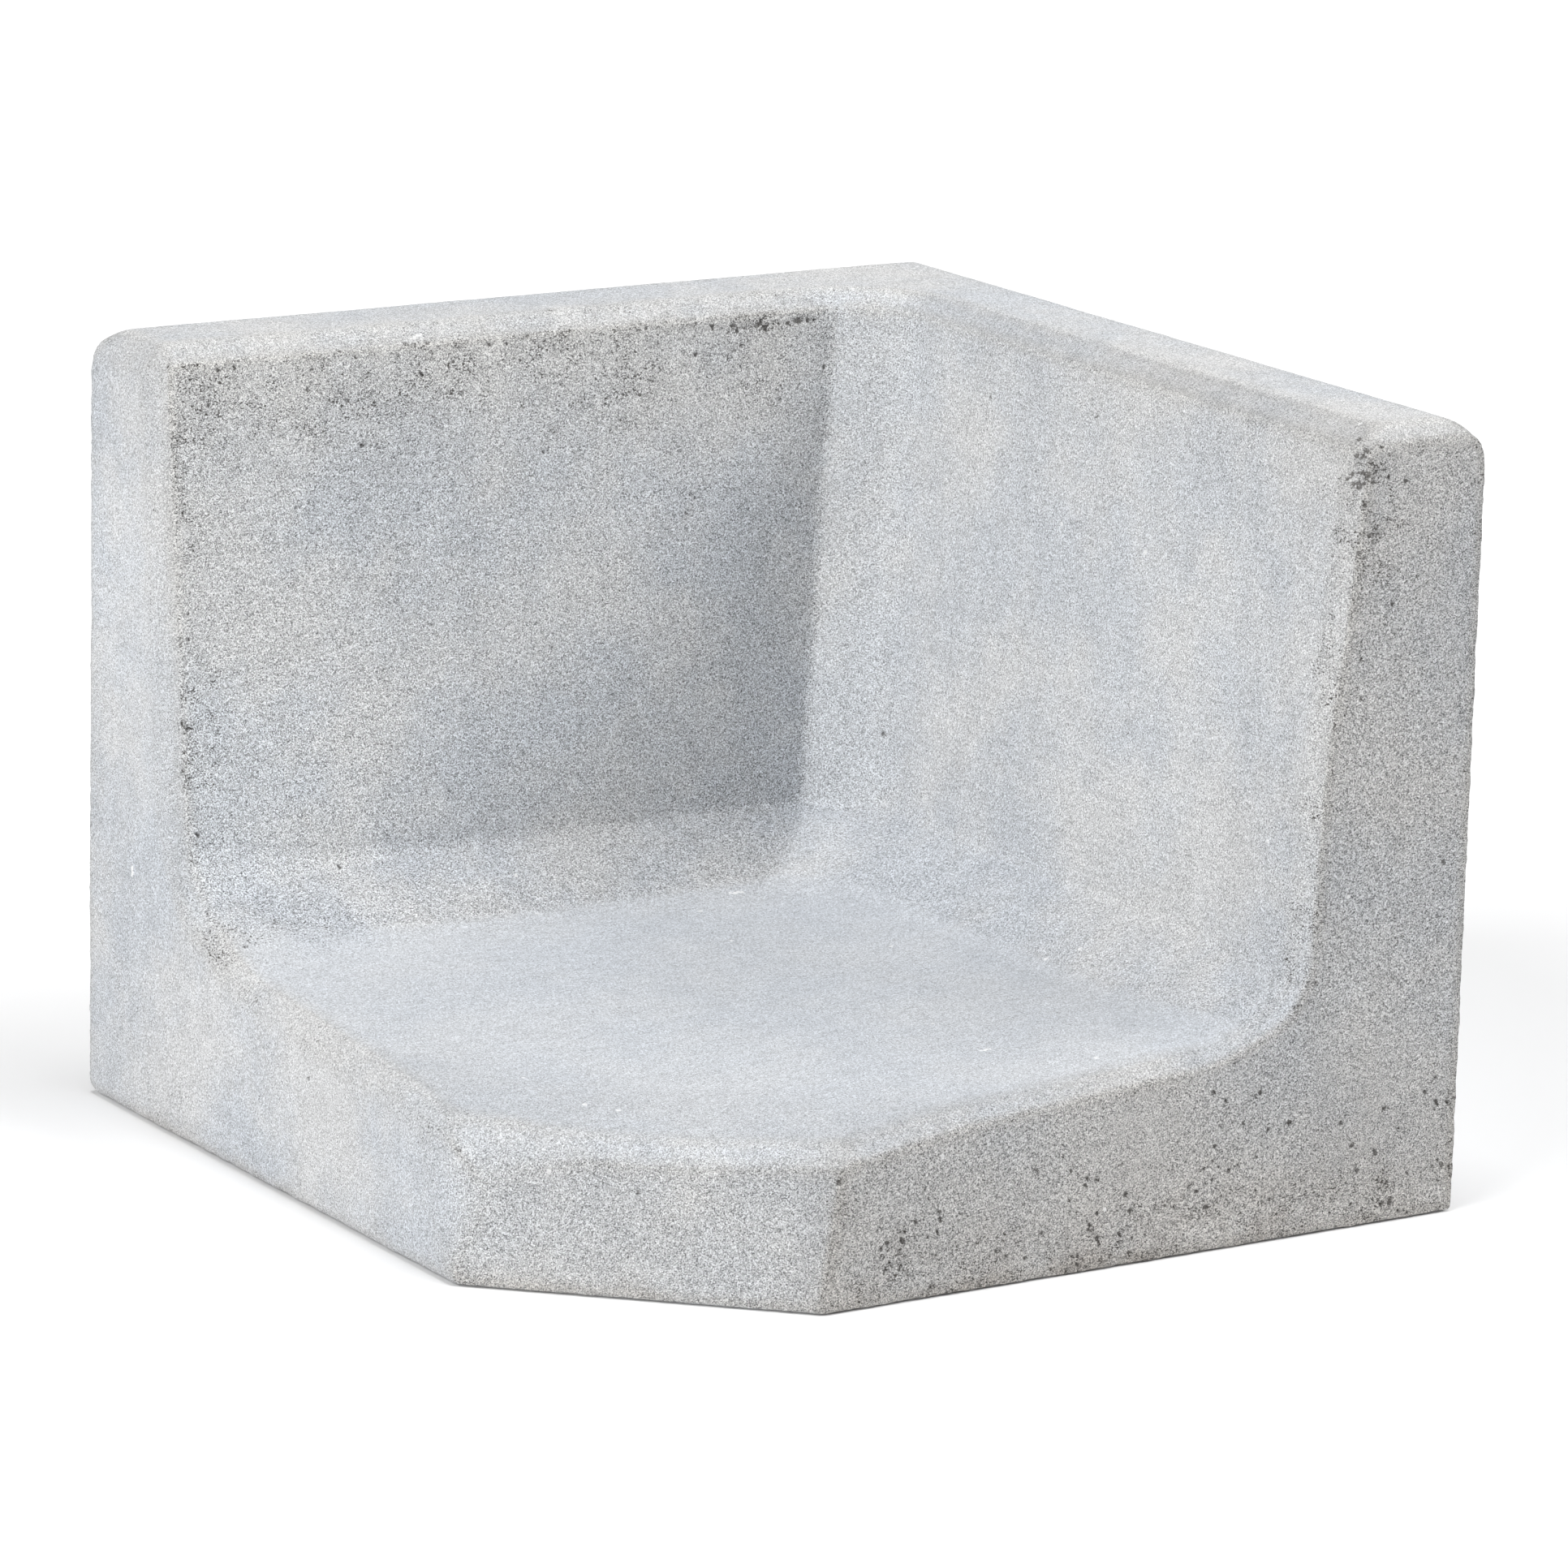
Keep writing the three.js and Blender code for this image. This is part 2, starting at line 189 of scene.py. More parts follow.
def round_min(a, b, radius):
    """Either field holds; a hollow edge between them is filled to that radius."""
    return np.maximum(radius, np.minimum(a, b)) - np.hypot(
        np.maximum(radius - a, 0), np.maximum(radius - b, 0)
    )


def soft_min(a, b, width):
    t = np.clip(0.5 + 0.5 * (b - a) / width, 0, 1)
    return b + (a - b) * t - width * t * (1 - t)


# ------------------------------------------------------------------ the concrete's field


def wall_thickness(z):
    return WALL_TOP + WALL_BATTER * (HEIGHT - CHAMFER - z)


def foot_height(d):
    return FOOT_AT_BAND - FOOT_FALL * (d - BAND_FOOT_D)


def slope(across, z, a, b):
    """Height over the sloping plane that rises from point a to point b."""
    run, rise = b[0] - a[0], b[1] - a[1]
    return ((z - a[1]) * run - (across - a[0]) * rise) / math.hypot(run, rise)


def toe_plane(x, y, z):
    """Negative behind the cut face, which leans back as it rises."""
    nx, ny = TOE_LEG_Y, TOE_LEG_X
    size = math.hypot(nx, ny)
    base = (nx * (-HALF + TOE_LEG_X) + ny * -HALF) / size
    return (base + TOE_LEAN * z - (nx * x + ny * y) / size) / math.hypot(1, TOE_LEAN)


def inner_field(x, y, z):
    """The faces that the backfill lies against: negative in the concrete."""
    toe = toe_plane(x, y, z)
    near_end_x = bell(x, -HALF, END_REACH)
    near_end_y = bell(y, -HALF, END_REACH)
    lean = math.hypot(1, WALL_BATTER)
    swell_y = near_end_y * SWELL * bell(z, SWELL_Z, SWELL_REACH)
    wall_x = (HALF - wall_thickness(z) - y) / lean
    wall_y = (HALF - wall_thickness(z) - swell_y - x) / lean

    u = (x + y) / ROOT2
    leg = LEG_TOP + (LEG_BAND - LEG_TOP) * (HEIGHT - z) / (HEIGHT - BAND_TOP_Z)
    strip = (LENGTH - 2 * wall_thickness(z) - leg) / ROOT2 - u

    top = HALF - wall_thickness(BAND_TOP_Z)
    foot = HALF - BAND_FOOT_D
    band_x = slope(y, z, (foot, FOOT_AT_BAND), (top, BAND_TOP_Z))
    band_y = slope(x, z, (foot, FOOT_AT_BAND), (top, BAND_TOP_Z))
    band_y = band_y + END_Y_BAND_DROP * near_end_y
    low = (LENGTH - 2 * BAND_FOOT_D - LEG_FOOT) / ROOT2
    high = (2 * top - LEG_BAND) / ROOT2
    band_strip = slope(
        u, z, (low, foot_height(BAND_FOOT_D + LEG_FOOT / 2)), (high, BAND_TOP_Z)
    )

    roll = TOE_ROLL * ramp(toe, -55, 0)
    roll = roll + TOE_MIDDLE_ROLL * ramp(toe, -30, 0) * bell(x - y, 0, 70)
    fall = math.hypot(1, FOOT_FALL)
    foot_x = (z + roll - foot_height(HALF - y)) / fall
    foot_y = (z + roll - foot_height(HALF - x)) / fall

    walls = round_min(round_min(wall_x, strip, STRIP_RADIUS), wall_y, WALLS_RADIUS)
    bands = round_min(round_min(band_x, band_strip, BAND_STRIP_RADIUS), band_y, BANDS_RADIUS)
    feet = soft_min(foot_x, foot_y, VALLEY_WIDTH)
    rounder = np.maximum(END_X_ROUNDING * near_end_x, END_Y_ROUNDING * near_end_y)
    upright = round_min(walls, bands, BAND_TOP_RADIUS + rounder)
    return round_min(upright, feet, BAND_FOOT_RADIUS + 1.2 * rounder)


def bevel(a, b, deep_a, deep_b):
    """The plane that cuts off the edge of faces a and b, that far below each of them."""
    return (a * deep_b + b * deep_a + deep_a * deep_b) / np.hypot(deep_a, deep_b)


def smooth_field(x, y, z):
    """Distance to the pressed shape before it gets its sandy surface."""
    inner = inner_field(x, y, z)
    top = z - HEIGHT
    end_x, end_y = -HALF - x, -HALF - y
    toe = toe_plane(x, y, z)
    side = round_max(x - HALF, y - HALF, CORNER_RADIUS)
    shell = round_max(side, top, TOP_RADIUS)
    bottom_radius = 3 + 7 * ramp(y - x, -100, 400)  # largest under the end of the wall along X
    shell = round_max(shell, -z, bottom_radius)
    body = round_max(shell, inner, INNER_EDGE_RADIUS)
    # the top chamfer reaches further across on the wall along Y, most of all at its free end
    across = CHAMFER + 2 * ramp(x - y, -20, 60) + 3 * ramp(x - y, 120, 260)
    body = round_max(body, bevel(inner, top, across, CHAMFER), TOP_EDGE_RADIUS)
    high = ramp(z, 115, 190)  # 0 at the foot and 1 on the walls, whose end chamfers differ
    for end, cut, inner_radius, outer_radius in (
        (end_x, bevel(inner, end_x, 9.5 + 2.5 * high, 10 - 3.5 * high), 2.5, 5.0),
        (end_y, bevel(inner, end_y, 9.5 - 3.0 * high, CHAMFER), 3.5, 1.6),
    ):
        body = round_max(body, cut, inner_radius)
        body = round_max(body, bevel(top, end, CHAMFER, CHAMFER), TOP_END_RADIUS)
        body = round_max(body, end, outer_radius)
    body = round_max(body, bevel(inner, toe, TOE_CHAMFER, TOE_CHAMFER), TOE_CHAMFER_RADIUS)
    toe_radius = 2 + 15 * ramp(y - x, 20, 115) * ramp(z, 0, 45)  # largest towards -X, and high up
    body = round_max(body, toe, toe_radius)
    return round_max(body, -z, INNER_EDGE_RADIUS)


def smooth_at(p):
    return smooth_field(p[:, 0], p[:, 1], p[:, 2])


def gradient(field, p, h=0.6):
    g = np.empty_like(p)
    for axis in range(3):
        step = np.zeros(3)
        step[axis] = h
        g[:, axis] = (field(p + step) - field(p - step)) / (2 * h)
    return g / np.maximum(np.linalg.norm(g, axis=1), 1e-6)[:, None]


def convexity(p, reach):
    """About 1 on an outer edge, 0 on a flat face and -1 in a crease."""
    total = -6 * smooth_at(p)
    for axis in range(3):
        for sign in (-1, 1):
            step = np.zeros(3)
            step[axis] = sign * reach
            total += smooth_at(p + step)
    return np.clip(total / (1.3 * reach), -1, 1)


def rough_at(p):
    """The same field with its waves, grain and crumbled edges, which only take away."""
    crumble = np.clip(convexity(p, 5), 0, 1)
    grains = noise(p, 3.2, 21) * 0.5 + noise(p, 7.5, 22) * 0.5
    waves = BROAD_WAVE * (1 + noise(p, 60, 23)) + HAND_WAVE * (1 + noise(p, 17, 24))
    surface = smooth_at(p) + waves + GRAIN_DEPTH * (1 + grains)
    return surface + crumble * (CRUMBLE + CRUMBLE_GRAIN * grains)


# ------------------------------------------------------------------ surface from the field


def surface_net(field, origin, step):
    """One vertex in each cell that the surface crosses, and a quad round each crossed grid edge."""
    inside = field < 0
    n = np.array(inside.shape) - 1
    count = np.zeros(n, np.int8)
    for corner in range(8):
        i, j, k = corner & 1, corner >> 1 & 1, corner >> 2
        count += inside[i : i + n[0], j : j + n[1], k : k + n[2]]
    crossed = (count > 0) & (count < 8)
    index = np.full(n, -1, np.int64)
    index[crossed] = np.arange(int(crossed.sum()))
    points = origin + (np.argwhere(crossed) + 0.5) * step
    quads = []
    for axis in range(3):
        u, v = (axis + 1) % 3, (axis + 2) % 3
        before = np.take(inside, range(inside.shape[axis] - 1), axis)
        after = np.take(inside, range(1, inside.shape[axis]), axis)
        at = np.argwhere(before != after)
        leaving = before[tuple(at.T)]
        ring = []
        for du, dv in ((0, 0), (1, 0), (1, 1), (0, 1)):
            cell = at.copy()
            cell[:, u] -= du
            cell[:, v] -= dv
            ring.append(index[tuple(cell.T)])
        ring = np.stack(ring, axis=1)
        quads.append(np.where(leaving[:, None], ring, ring[:, ::-1]))
    return points, np.concatenate(quads)


def settle(points, field, rounds):
    for _ in range(rounds):
        points = points - field(points)[:, None] * gradient(field, points)
    return points


def settled(places):
    """The nearest places on the pressed surface."""
    return settle(np.array(places, float), smooth_at, 4)


def grid_mesh():
    low = np.array([-HALF, -HALF, 0.0]) - 1.7 * CELL
    shape = [int((LENGTH + 3.4 * CELL) / CELL) + 2] * 2 + [int((HEIGHT + 3.4 * CELL) / CELL) + 2]
    axes = [
        (low[a] + np.arange(shape[a]) * CELL).reshape([-1 if b == a else 1 for b in range(3)])
        for a in range(3)
    ]
    points, quads = surface_net(smooth_field(*axes), low, CELL)
    return settle(points, smooth_at, 2), quads


# ------------------------------------------------------------------ where pores, dirt and wear lie


def zones(p, normal):
    """Surface qualities at each point: "tone" multiplies the colour's brightness with painted light
    and shade, and the others run from 0 to 1."""
    x, y, z = p.T
    nx, ny, nz = normal.T
    edge = np.clip(convexity(p, 7), 0, 1)
    wall_x = ramp(-ny, 0.6, 0.9) * ramp(y, 90, 130)
    wall_y = ramp(-nx, 0.6, 0.9) * ramp(x, 90, 130)
    end_x = ramp(-x, 246, 249)
    end_y = ramp(-y, 246, 249)
    foot = ramp(nz, 0.85, 0.97) * ramp(-z, -115, -108)
    patch = ramp(noise(p, 26, 31) + 0.5 * noise(p, 11, 32), -0.35, 0.6)

    # pores gather under the top edge, beside the free ends and in the creases
    under_top = ramp(z, 300, 392) * (wall_x * 0.75 + wall_y * 0.25)
    beside_end = wall_x * ramp(-x, 195, 243) * 0.8 + wall_y * ramp(-y, 205, 245) * 0.45
    corner_end = end_y * bell(x, 178, 16) * ramp(z, 290, 370)
    corner_low = end_y * ramp(-z, -50, -8)
    crease_end = bell(y, 112, 26) * ramp(-x, 130, 235) * ramp(-z, -140, -112) * (1 - end_x)
    toe = toe_plane(x, y, z)
    diagonal = ramp(np.minimum(-nx, -ny), 0.25, 0.66)
    strip = diagonal * ramp(x + y, 100, 140)
    toe_face = diagonal * ramp(toe, -16, -8) * (1 - ramp(nz, 0.25, 0.55))
    base = 0.2 + 0.06 * wall_x + 0.25 * end_y + 0.14 * toe_face + 0.1 * end_x - 0.06 * foot
    pore = base + (under_top + beside_end + corner_end + 0.5 * corner_low + 0.8 * crease_end) * (
        0.35 + 0.65 * patch
    )
    clean_edge = ramp(-nx, 0.3, 0.5) * ramp(z, 370, 385)
    pore = np.clip(pore + 0.3 * edge * patch * (1 - clean_edge), 0, 1)

    # painted light and shade: each face's brightness, and how it drifts over the face, stands in
    # for the light and shadow falling on it, such as the painted shadow that darkens the wall along
    # X towards the inner corner
    band = ramp(nz, 0.6, 0.72) * (1 - ramp(nz, 0.86, 0.94)) * ramp(-z, -142, -125)
    band_x = band * ramp(-ny, 0.3, 0.5) * ramp(y, 95, 112)
    band_y = band * ramp(-nx, 0.3, 0.5) * ramp(x, 95, 112)
    tone = wall_x * (0.03 + 0.05 * ramp(-x, -60, 200) - 0.04 * ramp(x, 0, 80))
    tone = tone + wall_x * ramp(-z, -280, -190) * (0.025 + 0.1 * ramp(-x, 60, 190))
    tone = tone + wall_y * (0.02 - 0.06 * ramp(-y, 140, 210))
    tone = tone + wall_y * ramp(z, 320, 385) * (0.05 * ramp(y, 20, 130) - 0.04 * ramp(-y, 40, 200))
    tone = tone + 0.14 * strip * ramp(-z, -340, -160)
    tone = tone - band_x * (0.015 + 0.07 * ramp(x, 20, 110)) - 0.045 * band_y
    tone = tone + foot * (0.045 - 0.12 * ramp(toe, -90, -25))
    tone = tone - 0.04 * foot * ramp(np.abs(x - y), 90, 220)
    tone = tone + end_y * (0.05 * ramp(-z, -30, -5) - 0.15 - 0.04 * ramp(-z, -120, -40))
    tone = tone - toe_face * (0.1 - 0.06 * ramp(y - x, 55, 100))
    tone = tone - end_x * (0.01 - 0.03 * bell(z, 260, 90) + 0.05 * ramp(toe, -14, -3))
    tone = tone - 0.05 * end_x * (ramp(z, 290, 345) + bell(z, 180, 40) * ramp(y, 170, 220))
    beside_y = ramp(-y, 230, 241) * (1 - end_y)  # the chamfer of the free end towards -Y
    tone = tone + beside_y * (0.05 * bell(z, 190, 50) - 0.06 * ramp(z, 290, 350))
    tone = tone - 0.1 * beside_y * ramp(-z, -125, -105)

    # painted light makes the top face pale, and painted shade makes the chamfer beside it on the
    # wall along Y as dark as that wall
    lip = ramp(z, 385, 390) * ramp(nz, 0.4, 0.55) * (1 - ramp(nz, 0.85, 0.95))
    lip_y = lip * ramp(-nx, 0.35, 0.5) * (1 - ramp(-ny, 0.2, 0.4))
    tone = tone + ramp(z, 392, 399) * (0.075 + 0.06 * ramp(-y, -200, -100)) * (1 - lip_y)
    tone = tone - 0.02 * edge - lip_y * (0.06 + 0.085 * ramp(-y, -80, 80))
    # painted shade darkens the creases, most of all where the foot meets the wall along Y
    crease = np.clip(-convexity(p, 9), 0, 1)
    tone = tone - crease * (0.02 + 0.08 * ramp(x, 60, 100) * ramp(-z, -125, -112))

    # brown soil low on the free end, and beige on the edges and the exposed faces
    stain = end_y * (0.14 + 0.26 * ramp(-z, -70, -5)) * (0.5 + 0.5 * patch)
    stain = stain + 0.3 * ramp(-z, -18, -2) * patch
    warm = 0.4 * edge + 0.45 * under_top + end_y * (0.32 + 0.4 * ramp(-z, -120, -10))
    warm = warm + 0.15 * (wall_x + wall_y + strip)
    warm = warm + 0.2 * ramp(nz, 0.5, 0.9) * ramp(z, 350, 390) + 0.4 * toe_face

    # the sand grain shows most on the walls and ends, and least on the trowelled foot; its colour
    # contrast is strongest on the faces towards -Y, which the key light grazes, as painted shade of
    # the grains' relief
    grainy_and_grazed = wall_x + end_y + band_x + 0.7 * toe_face + 0.4 * wall_y + 0.5 * band_y
    return {
        "edge": edge,
        "pore": pore,
        "stain": np.clip(stain, 0, 1),
        "warm": np.clip(warm, 0, 1),
        "trowel": foot,
        "grain_and_grazing_shade": 0.68 + 0.32 * np.clip(grainy_and_grazed, 0, 1) - 0.12 * foot,
        "tone": 1 + tone + 0.02 * noise(p, 95, 33),
    }


def scattered_pits(points, weight, count):
    """Random pits, (place, radius, depth), denser where weight is high."""
    chosen = rng.choice(len(points), count, p=weight / weight.sum())
    sizes = 0.7 + 0.9 * rng.random(count) ** 3
    return [
        (points[i], size, size * (0.45 + 0.45 * rng.random()))
        for i, size in zip(chosen, sizes)
    ]


def row_of_pits(a, b, count, radius, scatter):
    """Pits along a line from a to b, such as a ragged crease or a crack."""
    a, b = np.array(a, float), np.array(b, float)
    pits = []
    for i in range(count):
        place = a + (b - a) * (i + rng.random()) / count + rng.normal(0, scatter, 3)
        size = radius * (0.6 + 0.8 * rng.random())
        pits.append((place, size, size * (0.6 + 0.4 * rng.random())))
    return pits


def cluster(middle, spread, count, radius):
    """A patch of crumbled pits round a point."""
    places = settled(np.array(middle) + rng.normal(0, spread, (count, 3)))
    return [(place, radius * (0.6 + 0.8 * rng.random()), radius) for place in places]


def placed_pits():
    """The ragged creases and crumbled patches: rows first, then patches."""
    under_top = HALF - wall_thickness(384)  # the inner face just under the top chamfer
    rows = (  # from, to, count, radius, scatter
        ((80, under_top, 384), (134, under_top, 384), 30, 1.7, 1.2),
        ((30, under_top, 387), (80, under_top, 385), 9, 1.2, 1.2),
        ((-236, under_top, 388), (-205, under_top, 388), 10, 1.2, 1.6),
        ((-140, under_top, 387), (-20, under_top, 386), 22, 1.1, 2.2),
        ((139, under_top, 384), (130, 163, 330), 14, 0.9, 0.7),  # down the strip's edge
        ((-244, 128, 113), (-205, 116, 104), 24, 0.9, 0.8),  # a crack along the foot's crease
        ((-205, 116, 104), (-176, 110, 102), 16, 0.7, 0.6),
        ((-246, 150, 140), (-238, 128, 112), 12, 1.0, 1.5),
        ((-240, 172, 370), (-240, 160, 240), 26, 1.0, 2.2),  # beside the end towards -X
        ((-240, 160, 240), (-241, 149, 138), 34, 1.1, 1.6),
    )
    patches = (  # middle, spread, count, radius
        ((177, -247, 379), 6, 44, 1.4),  # the top corner of the end towards -Y
        ((168, -246, 340), 6, 14, 1.1),
        ((-70, -250, 24), 11, 18, 1.4),  # low on that end
        ((45, -250, 12), 14, 20, 1.5),
        ((25, -250, 45), 16, 12, 1.4),
        ((110, -250, 26), 16, 16, 1.4),
        ((150, -250, 64), 24, 14, 1.3),
        ((205, -250, 16), 14, 18, 1.5),
        ((238, -250, 60), 8, 9, 1.4),
        ((-248, -118, 86), 3, 9, 0.9),  # where the toe meets the end towards -X
        ((182, -249, 347), 4, 8, 1.2),
        ((172, -249, 261), 4, 7, 1.0),
        ((61, 166, 298), 5, 8, 1.0),  # the inner face of the wall along X
        ((41, 174, 379), 5, 7, 0.9),
        ((-16, 172, 360), 5, 6, 0.9),
        ((17, -249, 8), 8, 12, 1.3),
        ((-16, -249, 14), 5, 8, 1.2),
        ((243, -249, 23), 4, 8, 1.2),
    )
    pits = []
    for row in rows:
        pits += row_of_pits(*row)
    for patch in patches:
        pits += cluster(*patch)
    return pits


def spot_pits():
    """Three lone marks: a pit in the chip of the top edge, and two dark grains."""
    places = settled(((-96, 174, 391), (-159, 151, 130), (151, -97, 131)))
    return [(place, radius, 1.1) for place, radius in zip(places, (1.9, 1.5, 1.1))]


def pale_chips():
    """Lone chips and grains that show the bright stone: (places, radii)."""
    chips = (  # middle, half length along X, half length along Z, radius
        ((-101, 176, 396), 3.0, 1.5, 1.5),
        ((52, 109, 97), 3.6, 0.0, 1.5),
        ((17, -178, 97), 2.4, 0.0, 1.4),
        ((-250, 199, 128), 0.0, 2.2, 1.4),
    )
    places, radii = [], []
    for middle, along, upward, radius in chips:
        for t in (-1.0, -0.3, 0.4, 1.0):
            places.append(np.array(middle) + (t * along, 0.4 * math.sin(5 * t), t * upward))
            radii.append(radius * (1 - 0.3 * abs(t)))
    return settled(places), radii


def paleness(points, places, radii):
    """1 inside a chip, falling to 0 at its rim."""
    pale = np.zeros(len(points))
    for place, radius in zip(places, radii):
        distance = np.linalg.norm(points - place, axis=1)
        pale = np.maximum(pale, 1 - ramp(distance, 0.6 * radius, 1.3 * radius))
    return pale


# ------------------------------------------------------------------ concrete mesh


def tree_of(points):
    tree = KDTree(len(points))
    for i, p in enumerate(points):
        tree.insert(p, i)
    tree.balance()
    return tree


def refine(mesh, places, reach, cuts):
    """Divides the faces within reach of the places."""
    bm = bmesh.new()
    bm.from_mesh(mesh)
    bm.verts.ensure_lookup_table()
    tree = tree_of([v.co for v in bm.verts])
    near = set()
    for place, radius in zip(places, reach):
        near.update(i for _, i, _ in tree.find_range(Vector(place), radius))
    edges = {e for i in near for e in bm.verts[i].link_edges}
    bmesh.ops.subdivide_edges(
        bm, edges=sorted(edges, key=lambda e: e.index), cuts=cuts, use_grid_fill=True
    )
    bmesh.ops.triangulate(bm, faces=[f for f in bm.faces if len(f.verts) > 4])
    bm.to_mesh(mesh)
    bm.free()


def coordinates(mesh):
    co = np.empty(len(mesh.vertices) * 3)
    mesh.vertices.foreach_get("co", co)
    return co.reshape(-1, 3)


def dig(points, normal, pits):
    """Pushes the surface in at each pit, with an uneven rim."""
    tree = tree_of(points)
    depth = np.zeros(len(points))
    for place, radius, deep in pits:
        for co, i, distance in tree.find_range(Vector(place), radius * PIT_REACH):
            wobble = 1 + 0.6 * float(noise(np.array([co]), 1.3, 41)[0])
            inside = 1 - (distance / (radius * wobble)) ** 2
            if inside > 0:
                depth[i] = max(depth[i], deep * inside**0.7)
    return points - normal * depth[:, None], depth


def spacer_tips():
    """Where the spacers' ends come out: (place, axis) on the outer faces and the underside."""
    tips = []
    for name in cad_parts:
        if not name.startswith("bar_spacer"):
            continue
        low, high = (np.array(c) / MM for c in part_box(name))
        middle = (low + high) / 2
        for axis, face, out in ((0, HALF, 1), (1, HALF, 1), (2, 0.0, -1)):
            reach = high[axis] if out > 0 else low[axis]
            if abs(reach - face) < 2:
                place = middle.copy()
                place[axis] = face
                tips.append((place, axis))
    return tips


def sink_tips(points, tips):
    """A round hole in the concrete over each spacer end."""
    points = points.copy()
    for place, axis in tips:
        away = points - place
        away[:, axis] = 0
        near = (np.linalg.norm(away, axis=1) < TIP_RADIUS + TIP_CLEAR) & (
            np.abs(points[:, axis] - place[axis]) < 3
        )
        points[near, axis] -= 3.0 * (1 if place[axis] > 1 else -1)
    return points


def keep_in_box(points):
    low, high = (np.array(c) / MM for c in cad_box)
    return np.clip(points, low + 0.02, high - 0.02)


def concrete_mesh():
    points, quads = grid_mesh()
    mesh = bpy.data.meshes.new("concrete")
    mesh.from_pydata(points, [], quads.tolist())
    normal = gradient(smooth_at, points)
    quality = zones(points, normal)
    pits = placed_pits()
    pits += scattered_pits(points, quality["pore"] ** 3.5, PIT_COUNT)
    pits += spot_pits()
    tips = spacer_tips()
    chip_places, chip_radii = pale_chips()
    fine_places = [p[0] for p in pits] + list(chip_places)
    fine_radii = [p[1] for p in pits] + chip_radii
    refine(mesh, fine_places, [1.2 * radius + CELL * 0.7 for radius in fine_radii], 2)
    refine(mesh, [t[0] for t in tips], [TIP_RADIUS + 3.5] * len(tips), 4)

    points = coordinates(mesh)
    points = settle(points, smooth_at, 2)
    points = settle(points, rough_at, 2)
    normal = gradient(smooth_at, points)
    points, depth = dig(points, normal, pits)
    quality = zones(points, normal)
    quality["pit"] = np.clip(depth / FULL_PIT, 0, 1)
    quality["pale"] = paleness(points, chip_places, chip_radii)
    points = keep_in_box(sink_tips(points, tips))
    mesh.vertices.foreach_set("co", (points * MM).ravel())
    for name, values in quality.items():
        layer = mesh.attributes.new(name, "FLOAT", "POINT")
        layer.data.foreach_set("value", values.astype(np.float32))
    mesh.shade_smooth()
    mesh.update()
    return mesh


# ------------------------------------------------------------------ node helpers


class Nodes:
    """Short ways to add and join the nodes of one material."""

    def __init__(self, name):
        self.material = bpy.data.materials.new(name)
        self.material.use_nodes = True
        self.tree = self.material.node_tree
        self.shader = self.tree.nodes["Principled BSDF"]
        self.place = self.add("ShaderNodeTexCoord").outputs["Object"]

    def add(self, kind, **settings):
        node = self.tree.nodes.new(kind)
        for key, value in settings.items():
            setattr(node, key, value)
        return node

    def set(self, socket, value):
        if isinstance(value, bpy.types.NodeSocket):
            self.tree.links.new(value, socket)
        else:
            socket.default_value = value

    def math(self, operation, a, b=0.0, clamp=False):
        node = self.add("ShaderNodeMath", operation=operation, use_clamp=clamp)
        self.set(node.inputs[0], a)
        self.set(node.inputs[1], b)
        return node.outputs[0]

    def between(self, value, low, high, to_low=0.0, to_high=1.0):
        node = self.add("ShaderNodeMapRange", interpolation_type="SMOOTHSTEP")
        self.set(node.inputs["Value"], value)
        self.set(node.inputs["From Min"], low)
        self.set(node.inputs["From Max"], high)
        self.set(node.inputs["To Min"], to_low)
        self.set(node.inputs["To Max"], to_high)
        return node.outputs["Result"]

    def noise(self, scale, detail=3.0, roughness=0.55, place=None):
        node = self.add("ShaderNodeTexNoise")
        node.inputs["Scale"].default_value = scale
        node.inputs["Detail"].default_value = detail
        node.inputs["Roughness"].default_value = roughness
        self.set(node.inputs["Vector"], place or self.place)
        return node.outputs["Fac"]

    def scaled(self, factors, turn=0.0):
        node = self.add("ShaderNodeMapping")
        self.set(node.inputs["Vector"], self.place)
        node.inputs["Rotation"].default_value = (0, 0, turn)
        node.inputs["Scale"].default_value = factors
        return node.outputs[0]

    def shaken(self, scale, amount):
        """The place with a random shift, which breaks up round shapes."""
        node = self.add("ShaderNodeTexNoise")
        node.inputs["Scale"].default_value = scale
        self.set(node.inputs["Vector"], self.place)
        moved = self.add("ShaderNodeVectorMath", operation="MULTIPLY_ADD")
        self.set(moved.inputs[0], node.outputs["Color"])
        moved.inputs[1].default_value = (amount,) * 3
        self.set(moved.inputs[2], self.place)
        return moved.outputs[0]

    def cells(self, scale, place=None):
        """Distance to the middle of random cells, and a random value for each cell."""
        node = self.add("ShaderNodeTexVoronoi")
        node.inputs["Scale"].default_value = scale
        self.set(node.inputs["Vector"], place or self.place)
        split = self.add("ShaderNodeSeparateColor")
        self.set(split.inputs[0], node.outputs["Color"])
        return node.outputs["Distance"], split.outputs[0]

    def quality(self, name):
        return self.add("ShaderNodeAttribute", attribute_name=name).outputs["Fac"]

    def mix(self, factor, a, b, blend="MIX"):
        node = self.add("ShaderNodeMix", data_type="RGBA", blend_type=blend)
        self.set(node.inputs["Factor"], factor)
        for socket, value in ((node.inputs[6], a), (node.inputs[7], b)):
            self.set(socket, (*value, 1.0) if isinstance(value, tuple) else value)
        return node.outputs[2]

    def brighten(self, colour, factor):
        node = self.add("ShaderNodeVectorMath", operation="SCALE")
        self.set(node.inputs[0], colour)
        self.set(node.inputs["Scale"], factor)
        return node.outputs[0]

    def bump(self, height, distance, strength=1.0):
        node = self.add("ShaderNodeBump")
        node.inputs["Distance"].default_value = distance
        node.inputs["Strength"].default_value = strength
        self.set(node.inputs["Height"], height)
        self.tree.links.new(node.outputs[0], self.shader.inputs["Normal"])

    def total(self, *values):
        result = values[0]
        for value in values[1:]:
            result = self.math("ADD", result, value)
        return result


# ------------------------------------------------------------------ materials


